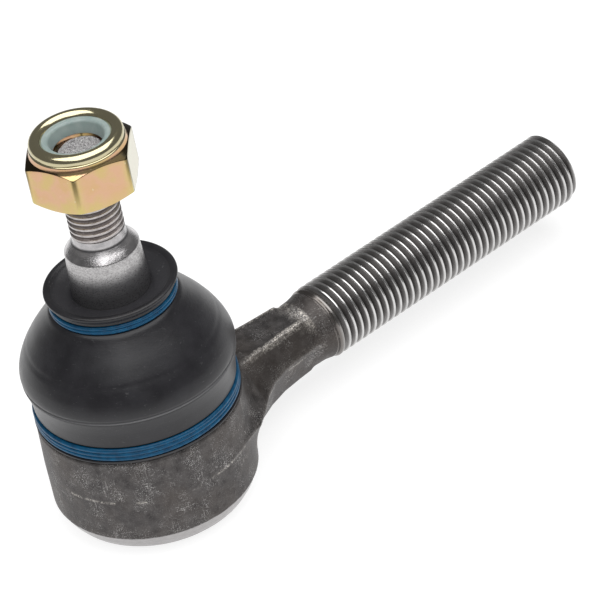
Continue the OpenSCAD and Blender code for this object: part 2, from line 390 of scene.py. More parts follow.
def surface_nets(field, low, step):
    """Points and quads of the zero surface of a field sampled on a grid."""
    inside = field < 0
    shape = tuple(n - 1 for n in field.shape)
    count = np.zeros(shape, np.int8)
    for i in (0, 1):
        for j in (0, 1):
            for k in (0, 1):
                count += inside[i:shape[0] + i, j:shape[1] + j, k:shape[2] + k]
    cells = np.argwhere((count > 0) & (count < 8))
    index = np.full(shape, -1, np.int64)
    index[tuple(cells.T)] = np.arange(len(cells))

    corner = {(i, j, k): field[cells[:, 0] + i, cells[:, 1] + j, cells[:, 2] + k]
              for i in (0, 1) for j in (0, 1) for k in (0, 1)}
    total, hits = np.zeros((len(cells), 3)), np.zeros(len(cells))
    for a in corner:
        for axis in range(3):
            if a[axis] == 0:
                b = tuple(1 if n == axis else a[n] for n in range(3))
                fa, fb = corner[a], corner[b]
                cut = (fa < 0) != (fb < 0)
                t = np.where(cut, fa / np.where(cut, fa - fb, 1), 0)
                place = np.tile(np.array(a, float), (len(cells), 1))
                place[:, axis] = t
                total += place * cut[:, None]
                hits += cut
    points = low + (cells + total / hits[:, None]) * step

    quads = []
    for axis in range(3):
        u, v = (axis + 1) % 3, (axis + 2) % 3
        near = [slice(1, -1)] * 3
        near[axis] = slice(0, -1)
        far = list(near)
        far[axis] = slice(1, None)
        a, b = inside[tuple(near)], inside[tuple(far)]
        for start, flip in ((a & ~b, False), (~a & b, True)):
            at = np.argwhere(start)
            at[:, u] += 1
            at[:, v] += 1
            around = []
            for du, dv in ((-1, -1), (0, -1), (0, 0), (-1, 0)):
                c = at.copy()
                c[:, u] += du
                c[:, v] += dv
                around.append(index[tuple(c.T)])
            around = np.stack(around, axis=1)
            quads.append(around[:, ::-1] if flip else around)
    return points, np.concatenate(quads)


def onto_surface(points, field, rounds=3):
    """Moves points onto the field's zero surface along its slope, a short way in each round."""
    probe, longest_move = 0.02, 0.3
    for _ in range(rounds):
        value = field(points)
        slope = [field(points + probe * axis) - field(points - probe * axis) for axis in np.eye(3)]
        slope = np.stack(slope, axis=1) / (2 * probe)
        steepness = np.maximum((slope ** 2).sum(axis=1), 0.25)
        shift = value[:, None] * slope / steepness[:, None]
        length = np.linalg.norm(shift, axis=1)
        shift *= np.minimum(1, longest_move / np.maximum(length, 1e-9))[:, None]
        points = points - shift
    return points


def rough(points, scale, seed):
    """Smooth noise from -1 to 1 at each point. scale is its size in millimetres; seed moves it."""
    shift = Vector((seed * 17.3, seed * 5.1, seed * 9.7))
    return np.array([noise.noise(Vector(p) / scale + shift) for p in points])


# ------------------------------------------------------------------ shader helpers


class Shader:
    """A Principled material whose colour, roughness and bump come from noise in millimetres."""

    def __init__(self, name, **sockets):
        self.material = bpy.data.materials.new(name)
        self.material.use_nodes = True
        self.tree = self.material.node_tree
        self.bsdf = self.tree.nodes["Principled BSDF"]
        for key, value in sockets.items():
            self.bsdf.inputs[key.replace("_", " ")].default_value = value
        self.place = self.node("ShaderNodeTexCoord").outputs["Object"]

    def node(self, kind, **settings):
        made = self.tree.nodes.new(kind)
        for key, value in settings.items():
            setattr(made, key, value)
        return made

    def join(self, source, target):
        self.tree.links.new(source, target)

    def stretched(self, stretch):
        """Object coordinates in millimetres, each axis divided by its stretch."""
        mapping = self.node("ShaderNodeMapping")
        mapping.inputs["Scale"].default_value = [1000 / s for s in stretch]
        self.join(self.place, mapping.inputs["Vector"])
        return mapping.outputs["Vector"]

    def noise(self, size, detail=4.0, roughness=0.55, stretch=(1, 1, 1), distortion=0.0):
        """Noise with blobs of about size millimetres, longer along an axis with more stretch."""
        made = self.node("ShaderNodeTexNoise")
        made.inputs["Scale"].default_value = 1 / size
        made.inputs["Detail"].default_value = detail
        made.inputs["Roughness"].default_value = roughness
        made.inputs["Distortion"].default_value = distortion
        self.join(self.stretched(stretch), made.inputs["Vector"])
        return made.outputs["Fac"]

    def mask(self, name):
        return self.node("ShaderNodeAttribute", attribute_name=name).outputs["Fac"]

    def ramp(self, value, *stops):
        """A value or colour that changes along stops of (position, grey or colour)."""
        made = self.node("ShaderNodeValToRGB")
        elements = made.color_ramp.elements
        while len(elements) < len(stops):
            elements.new(0.5)
        for element, (position, colour) in zip(elements, stops):
            if isinstance(colour, (int, float)):
                colour = (colour, colour, colour)
            element.position = position
            element.color = (*colour, 1)
        self.join(value, made.inputs["Fac"])
        return made.outputs["Color"]

    def mix(self, fac, a, b, blend="MIX"):
        made = self.node("ShaderNodeMix", data_type="RGBA", blend_type=blend)
        for key, value in (("Factor", fac), ("A", a), ("B", b)):
            socket = [s for s in made.inputs if s.name == key and s.enabled][0]
            if isinstance(value, (int, float)):
                socket.default_value = value if key == "Factor" else (value, value, value, 1)
            elif isinstance(value, tuple):
                socket.default_value = (*value, 1)
            else:
                self.join(value, socket)
        return [s for s in made.outputs if s.enabled][0]

    def math(self, operation, a, b=0.0, clamp=False):
        made = self.node("ShaderNodeMath", operation=operation, use_clamp=clamp)
        for socket, value in zip(made.inputs, (a, b)):
            if isinstance(value, (int, float)):
                socket.default_value = value
            else:
                self.join(value, socket)
        return made.outputs[0]

    def colour(self, source):
        self.join(source, self.bsdf.inputs["Base Color"])

    def roughness(self, source):
        self.join(source, self.bsdf.inputs["Roughness"])

    def metallic(self, source):
        self.join(source, self.bsdf.inputs["Metallic"])

    def bump(self, height, distance_mm, strength=1.0):
        """Adds relief. Later calls build on earlier ones."""
        made = self.node("ShaderNodeBump")
        made.inputs["Strength"].default_value = strength
        made.inputs["Distance"].default_value = distance_mm * MM
        self.join(height, made.inputs["Height"])
        normal = self.bsdf.inputs["Normal"]
        if normal.is_linked:
            self.join(normal.links[0].from_socket, made.inputs["Normal"])
        self.join(made.outputs["Normal"], normal)


# ------------------------------------------------------------------ materials


def forged_steel():
    """Dark shot-blasted forging: fine bright specks, rubbed patches, scratches, bright flash with a
    painted highlight, painted shade and a turned rim.
    """
    s = Shader("forged_steel", Metallic=0.85, Roughness=0.5)
    broad = s.noise(9, 3, 0.5)
    patches = s.noise(2.4, 5, 0.65)
    speckle = s.noise(0.26, 3, 0.8)
    rubbed = s.noise(5.5, 4, 0.6)
    upright = s.noise(1.1, 2, 0.4, stretch=(5, 5, 0.22), distortion=1.5)
    level = s.noise(1.3, 2, 0.4, stretch=(0.25, 0.25, 4), distortion=1.2)

    base = s.ramp(patches, (0.32, (0.050, 0.046, 0.046)), (0.68, (0.125, 0.117, 0.115)))
    base = s.mix(s.ramp(broad, (0.45, 0.0), (0.75, 0.35)), base, (0.12, 0.098, 0.082))
    bare = s.ramp(rubbed, (0.46, 0.12), (0.62, 1.0))
    specks = s.math("MULTIPLY", s.ramp(speckle, (0.55, 0.0), (0.65, 1.0)), bare)
    base = s.mix(specks, base, (0.60, 0.59, 0.58))

    scratches = s.math("MAXIMUM", s.ramp(upright, (0.68, 0.0), (0.74, 0.55)),
                       s.ramp(level, (0.68, 0.0), (0.74, 0.55)))
    scratches = s.math("MULTIPLY", scratches, s.ramp(rubbed, (0.45, 0.0), (0.55, 1.0)))
    base = s.mix(scratches, base, (0.62, 0.60, 0.58))

    broken_up = s.ramp(s.noise(0.3, 3, 0.8), (0.45, 0.0), (0.58, 1.0))
    # Bright trimmed flash. Along the arm's top edge this mask is a painted highlight that widens
    # towards the neck.
    flash_and_highlight = s.math("MULTIPLY", s.mask("flash_and_highlight"), broken_up)
    base = s.mix(flash_and_highlight, base, (0.78, 0.74, 0.68))
    # Painted shade: the arm's upper side faces and the neck beside the thread are darkened.
    base = s.mix(s.mask("shade"), base, (0.055, 0.045, 0.038))
    turned = s.ramp(s.noise(0.5, 3, 0.6, stretch=(3, 3, 0.35)),
                    (0.3, (0.32, 0.305, 0.305)), (0.7, (0.47, 0.455, 0.455)))
    s.colour(s.mix(s.mask("turned"), base, turned))

    finish = s.mix(flash_and_highlight, s.ramp(patches, (0.3, 0.42), (0.7, 0.58)), 0.65)
    s.roughness(s.mix(s.mask("turned"), finish, 0.3))
    s.bump(s.noise(0.45, 5, 0.7), 0.12, 0.75)
    s.bump(s.noise(2.5, 3, 0.5), 0.25, 0.6)
    return s.material


def thread_steel():
    """Rolled thread: bright burnished crests over grooves darkened with painted shade."""
    s = Shader("thread_steel", Metallic=1.0, Roughness=0.22)
    streak = s.noise(1.2, 4, 0.6, stretch=(0.25, 2, 2))
    base = s.ramp(streak, (0.3, (0.50, 0.495, 0.49)), (0.7, (0.72, 0.71, 0.705)))
    groove = s.mask("groove")
    # The grooves are darkened by their depth: painted shade.
    base = s.mix(s.ramp(groove, (0.04, 0.0), (0.3, 1.0)), base, (0.25, 0.242, 0.238))
    base = s.mix(s.ramp(groove, (0.6, 0.0), (1.0, 0.6)), base, (0.105, 0.098, 0.096))
    base = s.mix(s.mask("runout"), base, (0.17, 0.155, 0.145))
    s.colour(base)
    burnished = s.ramp(streak, (0.3, 0.17), (0.7, 0.28))
    s.roughness(s.mix(s.ramp(groove, (0.1, 0.0), (0.35, 1.0)), burnished, 0.42))
    s.bump(s.noise(0.4, 3, 0.6, stretch=(1, 2, 2)), 0.02, 0.6)
    return s.material


def stud_steel():
    """Turned and ground steel: polished chamfer and neck over a speckled taper, with a painted dark
    reflection of the boot low on the taper and painted shade at the fillet and neck.
    """
    s = Shader("stud_steel", Metallic=1.0, Roughness=0.3)
    grain = s.noise(0.5, 4, 0.8, stretch=(1, 1, 0.6))
    blotch = s.noise(1.8, 4, 0.65)
    base = s.ramp(grain, (0.36, (0.28, 0.27, 0.27)), (0.64, (0.64, 0.63, 0.63)))
    base = s.mix(s.ramp(blotch, (0.50, 0.0), (0.64, 0.5)), base, (0.26, 0.25, 0.255))
    polished = s.ramp(blotch, (0.35, (0.60, 0.58, 0.585)), (0.65, (0.42, 0.41, 0.415)))
    base = s.mix(s.mask("polish"), base, polished)
    # Painted dark reflection of the boot on the lower taper, and painted shade on the neck and in
    # the fillet under it.
    s.colour(s.mix(s.mask("dark_reflection_and_shade"), base, (0.040, 0.039, 0.043)))
    s.metallic(s.ramp(s.mask("dark_reflection_and_shade"), (0.0, 1.0), (1.0, 0.15)))
    ground = s.ramp(grain, (0.35, 0.22), (0.65, 0.42))
    s.roughness(s.mix(s.mask("polish"), ground, 0.15))
    s.bump(grain, 0.035, 0.9)
    s.bump(s.noise(1.2, 3, 0.6), 0.03, 0.5)
    return s.material


def stud_thread_steel():
    """Brownish turned thread with grooves darkened by painted shade, and a bright rough tip where
    the bar was cut, its white specks painted glints.
    """
    s = Shader("stud_thread_steel", Metallic=1.0, Roughness=0.3)
    streak = s.noise(0.9, 4, 0.65, stretch=(1.5, 1.5, 0.35))
    base = s.ramp(streak, (0.35, (0.33, 0.30, 0.295)), (0.65, (0.56, 0.53, 0.52)))
    # The grooves are darkened by their depth: painted shade.
    base = s.mix(s.ramp(s.mask("groove"), (0.2, 0.0), (0.8, 0.7)), base, (0.17, 0.15, 0.145))
    sparkle = s.noise(0.4, 4, 0.8, distortion=1.2)
    tip = s.mask("tip")
    # The cut tip is rough steel. Its near-white specks, made diffuse by the low metallic below, are
    # painted glints.
    cut = s.ramp(sparkle, (0.44, (0.24, 0.22, 0.23)), (0.56, (0.97, 0.95, 0.95)))
    s.colour(s.mix(tip, base, cut))
    s.metallic(s.ramp(tip, (0.0, 1.0), (1.0, 0.25)))
    s.roughness(s.mix(tip, s.ramp(streak, (0.35, 0.24), (0.65, 0.4)), 0.22))
    s.bump(s.math("MULTIPLY", sparkle, tip), 0.6, 1.0)
    s.bump(streak, 0.03, 0.6)
    return s.material


def yellow_zinc():
    """Yellow zinc plating: pinkish gold flats, greener at their edges, an olive collar, a painted
    dark reflection on the dome, dark corner lines and one flat paler with a painted reflection.
    """
    s = Shader("yellow_zinc", Metallic=1.0, Roughness=0.16)
    drift = s.noise(5, 3, 0.5)
    fine = s.noise(0.5, 3, 0.6)
    base = s.ramp(drift, (0.32, (0.60, 0.39, 0.20)), (0.5, (0.63, 0.39, 0.25)),
                  (0.68, (0.58, 0.43, 0.19)))
    base = s.mix(s.mask("edge"), base, (0.56, 0.50, 0.17))
    base = s.mix(s.mask("collar"), base, (0.56, 0.51, 0.33))
    # Painted reflection: one flat is made paler.
    base = s.mix(s.mask("pale"), base, (0.60, 0.57, 0.44))
    # Painted dark reflection over the dome, except one corner, and dark lines down the hexagon's
    # corners.
    base = s.mix(s.mask("dome_dark_reflection_and_corner_lines"), base, (0.045, 0.034, 0.016))
    spots = s.ramp(s.noise(0.9, 2, 0.5), (0.70, 0.0), (0.76, 0.5))
    s.colour(s.mix(spots, base, (0.72, 0.64, 0.46)))
    s.roughness(s.ramp(fine, (0.3, 0.11), (0.7, 0.19)))
    s.bump(s.noise(0.9, 2, 0.5), 0.006, 0.4)
    return s.material


def blue_wire():
    """Spring wire under blue paint, with a few paler specks."""
    s = Shader("blue_wire", Metallic=0.1, Roughness=0.36, Specular_IOR_Level=0.25,
               Coat_Weight=0.12, Coat_Roughness=0.15)
    drift = s.noise(1.6, 3, 0.5)
    base = s.ramp(drift, (0.3, (0.0005, 0.048, 0.115)), (0.7, (0.001, 0.096, 0.21)))
    specks = s.ramp(s.noise(0.5, 3, 0.6), (0.62, 0.0), (0.72, 0.4))
    s.colour(s.mix(specks, base, (0.04, 0.18, 0.32)))
    s.bump(s.noise(0.4, 3, 0.5), 0.01, 0.4)
    return s.material


def boot_rubber():
    """Moulded black rubber with a satin bloom, faint dust, a few small scuffs and a painted
    highlight along the fold.
    """
    s = Shader("boot_rubber", Roughness=0.38, Specular_IOR_Level=0.42,
               Sheen_Weight=0.06, Sheen_Roughness=0.4)
    dust = s.noise(6, 4, 0.6)
    fine = s.noise(0.5, 3, 0.6)
    rub = s.noise(0.9, 3, 0.6, stretch=(1.6, 1.6, 0.6), distortion=1.5)
    scuff = s.mask("scuff")
    base = s.ramp(dust, (0.35, (0.0125, 0.012, 0.0145)), (0.7, (0.021, 0.0205, 0.024)))
    base = s.mix(s.ramp(fine, (0.68, 0.0), (0.80, 0.25)), base, (0.10, 0.10, 0.105))
    base = s.mix(s.ramp(scuff, (0.6, 0.0), (1.0, 0.4)), base, (0.055, 0.054, 0.06))
    worn = s.math("MULTIPLY", s.ramp(rub, (0.66, 0.0), (0.72, 0.6)), scuff)
    base = s.mix(worn, base, (0.20, 0.20, 0.205))
    # Painted highlight: a lighter line along the fold at the foot of the dome.
    s.colour(s.mix(s.mask("crease"), base, (0.12, 0.12, 0.125)))
    s.roughness(s.ramp(dust, (0.3, 0.30), (0.7, 0.38)))
    s.bump(fine, 0.012, 0.5)
    s.bump(s.math("MULTIPLY", rub, scuff), 0.12, 0.5)
    return s.material


def nylon_plastic():
    """Pale grey-green nylon that lets a little light in."""
    s = Shader("nylon", Roughness=0.33, Subsurface_Weight=0.3)
    s.bsdf.inputs["Subsurface Radius"].default_value = (0.001, 0.0013, 0.0012)
    drift = s.noise(2.5, 3, 0.5)
    s.colour(s.ramp(drift, (0.3, (0.25, 0.32, 0.31)), (0.7, (0.34, 0.40, 0.385))))
    s.bump(s.noise(0.5, 2, 0.5), 0.01, 0.4)
    return s.material


def bearing_plastic():
    """Off-white moulded plastic of the bearing shells."""
    s = Shader("bearing_plastic", Roughness=0.45)
    drift = s.noise(3, 3, 0.5)
    s.colour(s.ramp(drift, (0.3, (0.74, 0.72, 0.66)), (0.7, (0.82, 0.80, 0.75))))
    s.bump(s.noise(0.6, 2, 0.5), 0.01, 0.4)
    return s.material


def spring_steel():
    """Dark heat-treated steel."""
    s = Shader("spring_steel", Metallic=1.0, Roughness=0.38)
    streak = s.noise(0.8, 3, 0.6)
    s.colour(s.ramp(streak, (0.3, (0.20, 0.20, 0.22)), (0.7, (0.34, 0.34, 0.36))))
    return s.material


def plated_steel():
    """Dull plated sheet steel."""
    s = Shader("plated_steel", Metallic=1.0, Roughness=0.35)
    grain = s.noise(0.6, 4, 0.6)
    s.colour(s.ramp(grain, (0.3, (0.42, 0.42, 0.43)), (0.7, (0.58, 0.58, 0.58))))
    s.roughness(s.ramp(grain, (0.3, 0.3), (0.7, 0.45)))
    s.bump(grain, 0.02, 0.5)
    return s.material


# ------------------------------------------------------------------ pieces


def forging_masks(points):
    """Where the forging has bright flash with a painted highlight on the arm's top edge, where
    painted shade darkens it, and where its rim is turned.
    """
    x, y, z = points.T
    r = np.hypot(x, y)
    top, upper, lower, _ = arm_sides(x, y, z)
    grain = rough(points, 0.7, 1)
    on_arm = np.clip((r - SOCKET_R) / 3, 0, 1) * (x > 0) * (x < 46.6)

    towards_neck = np.clip((x - 22) / 20, 0, 1)
    edge_width = 1.4 + 1.8 * towards_neck
    top_edge = towards_neck * np.exp(-((top - upper) / edge_width) ** 2)
    top_edge *= (top > -1) * (upper > -1)
    side_edge = np.exp(-((upper - lower) / 1.1) ** 2) * (upper > -1) * (lower > -1)
    # The top edge's band is a painted highlight over trimmed flash, widest towards the neck.
    arm_flash_and_highlight = on_arm * (1.7 * top_edge + 0.25 * side_edge) * (0.7 + 1.2 * grain)

    end_face = np.exp(-((x - 44.6) / 1.5) ** 2) * (top > -2.5) * (z > SHANK_Z)
    parting_line = np.exp(-((z - SHANK_Z - 0.4 * rough(points, 6, 5)) / 0.22) ** 2)
    parting_line *= (r > SOCKET_R - 0.6) * (rough(points, 3.5, 2) > 0.05)
    other_flash = (0.5 * on_arm * end_face + 0.8 * parting_line) * (0.8 + 1.2 * grain)

    # Painted shade on the arm's upper side faces and on the neck beside the thread.
    under_top = on_arm * (lower < upper) * (upper > top) * (x > 24)
    beside_thread = np.clip((x - 45.8) / 0.8, 0, 1)
    return {"flash_and_highlight": np.maximum(np.clip(arm_flash_and_highlight, 0, 1), np.clip(other_flash, 0, 1)),
            "shade": np.maximum(0.55 * under_top, 0.4 * beside_thread),
            "turned": np.clip((BEVEL_Z - z) / 0.15, 0, 1) * (r < SOCKET_R - 0.1)}


def make_housing(material, step):
    """The forging without its thread, meshed from its distance field. step is the grid's, in mm."""
    margin, past_neck = 1.2, 54
    low = np.array([-SOCKET_R - margin, -SOCKET_R - margin, RIM_Z - margin])
    high = np.array([past_neck, SOCKET_R + margin, BOSS_Z + margin])
    axes = [np.arange(a, b, step) for a, b in zip(low, high)]
    field = np.empty([len(a) for a in axes])
    yy, zz = np.meshgrid(axes[1], axes[2], indexing="ij")
    for i, x in enumerate(axes[0]):
        field[i] = forging(np.stack([np.full_like(yy, x), yy, zz], axis=2))
    points, quads = surface_nets(field, low, step)
    points = onto_surface(points, forging)
    return mesh_piece("housing_forging", points, [tuple(q) for q in quads], "socket", ["housing"],
                      material, 40, forging_masks(points))


def make_shank_thread(material):
    """The shank's rolled thread, made upright and then laid along X."""
    low, high = THREAD_X - 0.8, SHANK_TIP
    start_r, groove, fade_in, chamfer = 8.45, 1.2, 3.2, 1.3

    def envelope(z):
        start = np.clip(start_r + (z - low) * 0.35, start_r, SHANK_R)
        end = SHANK_R - np.clip(z - (high - chamfer), 0, 2) * 0.95
        return np.minimum(start, end)

    def depth(z):
        return groove * np.clip((z - low) / fade_in, 0, 1)

    rod = helical_rod(low, high, SHANK_PITCH, envelope, depth, segments=128)
    points, faces, grooves = weld(*rod, distance=0.004)
    laid = [(z, y, SHANK_Z - x) for x, y, z in points]
    runout = [min(1.0, max(0.0, (low + 2.6 - x) / 1.6)) for x, _, _ in laid]
    return mesh_piece("shank_thread", laid, faces, "socket", ["housing"],
                      material, 30, {"groove": grooves, "runout": runout})


def make_stud(material):
    """Ball, waist, journal, taper and neck, up to where the stud's thread begins."""
    journal_r, chamfer_z, fillet_z, neck_top = 8.7, 49.9, 52.4, 54.4
    profile = [(0, BALL_FLAT_Z), (8.0, BALL_FLAT_Z)]
    profile += [(BALL_R * math.cos(a), BALL_R * math.sin(a))
                for a in np.radians(np.linspace(-54.8, 49.5, 40))]
    profile += curve_through([(8.6, 10.6), (7.5, 11.7), (7.2, 13), (7.2, 22), (7.6, 23.6),
                              (8.6, 26.9), (journal_r, 27.6)], 4)
    profile += [(journal_r, 30), (journal_r, 35)]
    # The taper falls 0.44 mm in 8.75 mm. Its many rows let the painted reflection of the boot fade
    # out along it.
    profile += [(journal_r - 0.44 * t, 41 + 8.75 * t) for t in np.linspace(0, 1, 15)]
    profile += [(8.22, chamfer_z), (8.12, 50.05), (7.2, 51.1), (6.35, 52.08)]
    profile += arc((6.95, 52.92), 1.0, 228, 180, 8)
    profile += [(5.95, neck_top), (5.3, neck_top + 0.4), (0, neck_top + 0.4)]
    points, faces = turned(profile, segments=160, closed=False)

    z = np.array(points)[:, 2]
    polish = np.clip((z - chamfer_z) / 0.1, 0, 1) * (z < neck_top + 0.2)
    # Painted reflection of the black boot low on the taper, painted shade on the neck, and a dark
    # painted shade line in the fillet.
    boot_reflection, neck_shade = np.clip((47.4 - z) / 3, 0, 1) * (z > 27), 0.2 * (z > 52.9)
    dark_reflection_and_shade = np.maximum(boot_reflection + neck_shade, np.exp(-((z - fillet_z) / 0.4) ** 2))
    return mesh_piece("ball_and_taper", points, faces, "stud", ["ball_stud"],
                      material, 28, {"polish": polish, "dark_reflection_and_shade": 0.92 * dark_reflection_and_shade})


def make_stud_thread(material):
    """The stud's thread, from the neck to the cut tip."""
    low, high = 54.0, STUD_TIP
    start_r, groove, fade_in, chamfer = 5.9, 0.88, 1.2, 0.8

    def envelope(z):
        start = np.clip(start_r + (z - low) * 0.3, start_r, STUD_R)
        end = STUD_R - np.clip(z - (high - chamfer), 0, 2) * 1.1
        return np.minimum(start, end)

    def depth(z):
        return groove * np.clip((z - low) / fade_in, 0, 1)

    rod = helical_rod(low, high, STUD_PITCH, envelope, depth, segments=112, crest=0.17)
    points, faces, grooves = weld(*rod, distance=0.003)
    tip = [1.0 if z > STUD_TIP - 0.01 else 0.0 for _, _, z in points]
    grooves = [g * (1 - t) for g, t in zip(grooves, tip)]
    return mesh_piece("stud_thread", points, faces, "stud", ["ball_stud"],
                      material, 30, {"groove": grooves, "tip": tip})


def make_nut(material):
    """A hexagon with domed top corners, chamfered lower corners and a rolled collar.

    It is made as columns round the axis. Each column has its rows where the chamfer and the dome
    cut that part of the hexagon.
    """
    half = NUT_AF / 2
    corner = half / math.cos(math.pi / 6)
    bore_r, seat_r, seat_z = 6.05, 8.9, nylon_low[2] - 0.05
    wall_r, roll = COLLAR_R + 0.4, 1.5

    def chamfer_z(r):
        return NUT_Z + 0.06 + max(r - half + 0.5, 0) * 0.5

    def dome_z(r):
        return NUT_TOP - 3.2 - 0.48 * (r - wall_r) - 0.03 * (r - wall_r) ** 2

    def lower_rows(face_r):
        """Bore's edge, underside, chamfer and flat of a column whose outer face is at face_r."""
        rows = [(bore_r, NUT_Z + 0.95), (6.95, NUT_Z + 0.06), (7.2, NUT_Z),
                (half - 0.75, NUT_Z), (half - 0.5, NUT_Z + 0.06)]
        for share in (0.35, 0.7):
            r = half - 0.5 + (face_r - half + 0.5) * share
            rows.append((r, chamfer_z(r)))
        rows.append((face_r - 0.05, chamfer_z(face_r - 0.05)))
        low, high = chamfer_z(face_r) + 0.12, dome_z(face_r) - 0.12
        rows += [(face_r, low + (high - low) * share) for share in (0, 0.1, 0.3, 0.5, 0.7, 0.9, 1)]
        return rows

    def dome_rows(face_r):
        """The domed top, from the flat's upper edge in to the collar."""
        shares = (1, 0.85, 0.7, 0.55, 0.4, 0.25, 0.1, 0)
        radii = [wall_r + (face_r - 0.08 - wall_r) * share for share in shares]
        return [(r, dome_z(r)) for r in radii]

    collar_rows = [(wall_r - 0.03, NUT_TOP - 3.15), (wall_r - 0.2, NUT_TOP - 2.5)]
    collar_rows += arc((wall_r - 0.6, NUT_TOP - 2.4), 0.38, 10, 80, 4)
    collar_rows += arc((COLLAR_R - roll, NUT_TOP - roll), roll, -30, 160, 22)
    collar_rows += [(seat_r, NUT_TOP - 1.04), (seat_r, seat_z), (bore_r, seat_z)]

    columns = []
    for number in range(6):
        for step in np.concatenate([[-29.6], np.linspace(-28.8, 28.8, 25), [29.6]]):
            deg = number * 60 + step
            from_middle = (deg + 30) % 60 - 30
            turn = math.radians(deg) + NUT_TURN + math.pi / 6
            face_r = min(half / math.cos(math.radians(from_middle)), corner - 0.14)
            section = lower_rows(face_r) + dome_rows(face_r) + collar_rows
            columns.append([(r * math.cos(turn), r * math.sin(turn), z) for r, z in section])
    row_count = len(columns[0])
    points = [column[i] for i in range(row_count) for column in columns]
    faces = grid_faces(row_count, len(columns), wrap_rows=True)

    x, y, z = np.array(points).T
    bearing = np.degrees(np.arctan2(y, x) - NUT_TURN)
    from_corner = np.abs((bearing + 30) % 60 - 30)
    below_dome = z < NUT_TOP - 3.4
    low_edge = np.clip((NUT_Z + 3.2 - z) / 3.2, 0, 1) * 0.45
    near_corner = np.clip((9 - from_corner) / 9, 0, 1) * 0.6 * below_dome
    # One flat is painted paler: a painted reflection.
    flat_with_painted_reflection = np.floor(bearing % 360 / 60) == 4

    row = np.arange(len(points)) // len(columns)
    dome_start = len(lower_rows(half))
    on_dome = (row >= dome_start) & (row < dome_start + len(dome_rows(half)))
    # One dome corner catches the light, so it is left out of the painted dark reflection on the
    # dome.
    bright_corner = np.clip((15 - np.abs(bearing % 360 - 180)) / 1.5, 0, 1)
    bright_corner *= np.clip((np.hypot(x, y) - half - 0.3) / 0.12, 0, 1)
    # Dark lines down the hexagon's corners, stronger towards the top.
    dark_corner_lines = (from_corner < 1.3) * np.clip((z - NUT_Z - 2) / 6, 0, 1) * (z < NUT_TOP - 4)
    dome_dark_reflection_and_corner_lines = 0.97 * on_dome * (1 - bright_corner) + 0.75 * dark_corner_lines
    masks = {"edge": np.clip(low_edge + near_corner, 0, 1), "collar": z > NUT_TOP - 2.3,
             "dome_dark_reflection_and_corner_lines": np.clip(dome_dark_reflection_and_corner_lines, 0, 1), "pale": flat_with_painted_reflection * below_dome}
    return mesh_piece("lock_nut_body", points, faces, "nut", ["lock_nut"],
                      material, 38, masks)


def make_nylon(material):
    """The nylon ring, with a rounded lead-in and a bore a little smaller than the thread."""
    low, high = nylon_low[2], nylon_high[2]
    profile = [(5.85, low), (8.85, low), (8.85, high - 0.05), (8.7, high), (7.2, high)]
    profile += arc((6.85, high - 0.9), 0.9, 90, 165, 8)
    profile += [(5.75, high - 1.5), (5.5, high - 2.2), (5.45, low + 0.3)]
    points, faces = turned(profile, segments=128)
    return mesh_piece("nylon_ring", points, faces, "nut_carrier", ["nylon_insert"],
                      material, 40)


def make_boot(material):
    """The boot as two pieces. They meet at the height split."""
    split, bonded_from = 23.6, 31.4
    foot = [(20.25, boot_low[2]), (23.05, boot_low[2]), (23.35, 8.05), (23.4, 8.3), (23.2, 8.5),
            (22.25, 8.55), (22.2, 8.65), (22.2, 11.85), (22.3, 11.95), (22.65, 12.0), (22.85, 12.2)]
    foot += curve_through([(22.9, 12.7), (23.05, 14.2), (23.3, 16), (23.7, 17.8), (24, 18.9)], 4)
    foot += [(BOOT_R - 0.08, 19.2), (BOOT_R - 0.12, 19.36), (BOOT_R - 0.24, 19.46),
             (BOOT_R - 0.30, 19.54), (BOOT_R - 0.28, 19.66)]
    dome = curve_through([(BOOT_R - 0.12, 20.0), (BOOT_R, 20.6), (BOOT_R - 0.15, 21.8),
                          (BOOT_R - 0.75, split), (22.3, 25.8), (21.45, 27.1), (20.8, 28.1),
                          (19, 30.4), (17.1, 32.6), (15.6, 34.4), (14.75, 35.5), (14.1, 36.0)], 5)
    lip = [(13.35, 36.1), (13.25, 36.2), (13.25, 38.25), (13.35, 38.35), (13.95, 38.38)]
    lip += curve_through([(14.0, 38.6), (14.05, 39.1), (14.35, 39.5), (14.8, 39.9),
                          (14.9, 40.3), (14.8, 40.62), (14.5, LIP_Z)], 4)
    lip += curve_through([(13.9, LIP_Z - 0.02), (13.3, 40.55), (12.6, 40.05), (11.4, 39.65),
                          (10.2, 39.35), (9.3, 39.1), (8.75, 38.85)], 4)
    bore = [(8.73, 38.6), (8.73, bonded_from), (9.6, 30.75)]
    inside = curve_through([(12, 30.7), (13.8, 31), (15.6, 29.6), (17.3, 27.8), (17.9, 27.1),
                            (19, 25.7), (20.4, split), (21.5, 21.8), (22.1, 20), (21.9, 18.4),
                            (21.5, 15.4), (21.1, 12.9), (21, 11.9)], 5)

    touch = 1e-9
    skirt = foot + [q for q in dome if q[1] <= split]
    skirt += [q for q in inside if q[1] <= split + touch] + [(20.25, 11.6)]
    crown = [q for q in dome if q[1] >= split - touch] + lip + bore
    crown += [q for q in inside if q[1] >= split - touch]

    pieces = []
    for name, profile, pair, ends in (
            ("boot_skirt", skirt, ("socket", "boot"), (12.5, split)),
            ("boot_crown", crown, ("boot", "boot_collar"), (split, bonded_from))):
        points, faces = turned(profile, segments=192)
        x, y, z = np.array(points).T
        r = np.hypot(x, y)
        in_dish = (r < 13.2) & (z > LIP_Z - 2.2)
        # A painted highlight along the fold at the foot of the dome.
        on_fold = (np.abs(z - 19.45) < 0.16) & (r > 23)
        piece = mesh_piece(name, points, faces, None, ["dust_boot"], material, 35,
                           {"scuff": np.where(in_dish, 1.0, 0.35), "crease": on_fold})
        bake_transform(piece)
        pieces.append(piece)
    return pieces


